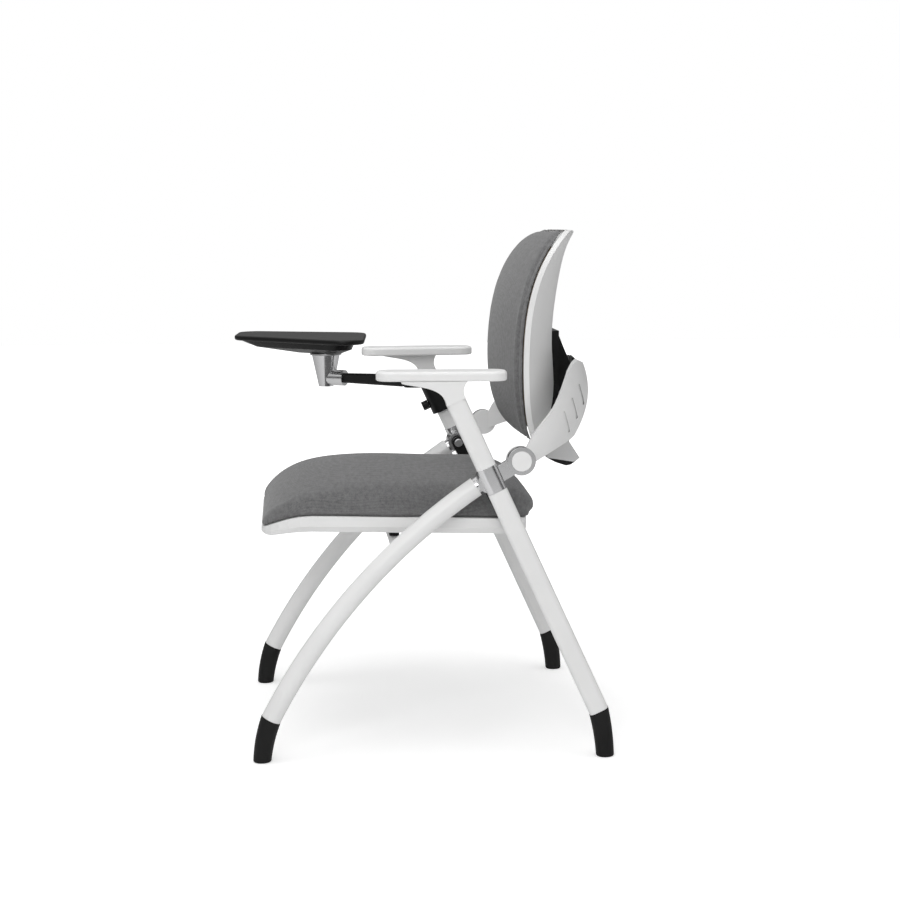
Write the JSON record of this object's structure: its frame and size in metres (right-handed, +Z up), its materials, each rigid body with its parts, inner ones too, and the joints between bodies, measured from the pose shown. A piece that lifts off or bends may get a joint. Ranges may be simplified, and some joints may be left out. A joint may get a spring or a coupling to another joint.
{
  "type": "training chair",
  "caption": "Training chair: white tube frame on black feet, flip-up grey fabric seat, sprung back on a rear band, armrests and a swing-out black writing tablet.",
  "frame": {"origin": "On the floor, in the middle of the whole chair's box with the tablet at rest. The chair's own middle plane is at x = 0.1282 m.", "axes": "+Z up. The sitter faces -Y. +X is the sitter's left; the writing tablet is on -X, the sitter's right."},
  "size_m": [0.8493, 0.6152, 0.842],
  "materials": {
    "white_paint": "smooth white powder coat",
    "white_plastic": "moulded white, fine satin",
    "grey_plastic": "moulded light grey, satin",
    "chrome": "bright plated casting",
    "black_plastic": "satin black, fine grain",
    "black_laminate": "satin black laminate",
    "black_rubber": "matt black",
    "black_paint": "satin black coat",
    "steel": "zinc plated",
    "plywood": "raw plywood, hidden",
    "grey_fabric": "close mid-grey weave"
  },
  "bodies": {
    "frame": {"front_leg_left": "white_paint", "front_leg_right": "white_paint", "rear_leg_left": "white_paint", "rear_leg_right": "white_paint", "arm_post_left": "white_paint", "arm_post_right": "white_paint", "rear_foot_left": "black_rubber", "rear_foot_right": "black_rubber", "front_foot_left": "black_rubber", "front_foot_right": "black_rubber", "frame_joint_left": "chrome", "frame_joint_right": "chrome", "armrest_support_left": "white_plastic", "armrest_support_right": "white_plastic", "armrest_pad_left": "white_plastic", "armrest_pad_right": "white_plastic", "band_ring_left": "chrome", "band_ring_right": "chrome", "band_cap_left": "white_plastic", "band_cap_right": "white_plastic", "seat_pivot_bolt_left": "steel", "seat_pivot_bolt_right": "steel", "front_cross_tube": "white_paint", "armrest_screws": "steel", "back_band": "white_plastic", "band_bolts": "steel", "band_tail": "grey_plastic", "band_grip": "black_rubber", "recline_housing": "black_plastic", "recline_pin": "steel", "tablet_collar": "black_plastic", "tablet_arm_pin": "steel"},
    "seat": {"seat_shell": "white_plastic", "seat_board": "plywood", "seat_cushion": "grey_fabric", "seat_lug_left": "black_paint", "seat_lug_right": "black_paint", "seat_lug_screws": "steel", "seat_bumpers": "black_rubber"},
    "backrest": {"back_shell": "white_plastic", "back_board": "plywood", "back_cushion": "grey_fabric", "back_mount": "black_plastic", "back_mount_screws": "steel"},
    "knob": {"collar_knob": "black_plastic"},
    "tablet_arm": {"tablet_arm": "black_paint"},
    "tablet_hub": {"tablet_hub": "chrome"},
    "tablet": {"tablet_spindle": "steel", "tablet_top": "black_laminate", "tablet_tray": "black_plastic", "tablet_screws": "steel"}
  },
  "joints": [
    {"name": "seat_flip", "type": "hinge", "parent": "frame", "child": "seat", "pos_m": [0.12819, 0.10482, 0.44965], "axis": [-1, 0, 0], "range_deg": [0, 76]},
    {"name": "back_recline", "type": "hinge", "parent": "frame", "child": "backrest", "pos_m": [0.12819, 0.27222, 0.6], "axis": [-1, 0, 0], "range_deg": [0, 10], "stiffness_Nm_per_rad": 120, "springref_deg": -5.73},
    {"name": "tablet_arm_swing", "type": "hinge", "parent": "frame", "child": "tablet_arm", "pos_m": [-0.15181, 0.02222, 0.56], "axis": [0, 0, -1], "range_deg": [0, 50]},
    {"name": "tablet_flip", "type": "hinge", "parent": "tablet_arm", "child": "tablet_hub", "pos_m": [-0.15181, 0.02222, 0.56], "axis": [-0.515, -0.8572, 0], "range_deg": [0, 80]},
    {"name": "tablet_swivel", "type": "hinge", "parent": "tablet_hub", "child": "tablet", "pos_m": [-0.24555, -0.13379, 0.603], "axis": [0, 0, 1], "range_deg": [-90, 90]},
    {"name": "collar_knob_turn", "type": "hinge", "parent": "frame", "child": "knob", "pos_m": [-0.15181, 0.05502, 0.51605], "axis": [0, -0.91, -0.4147], "continuous": true}
  ]
}
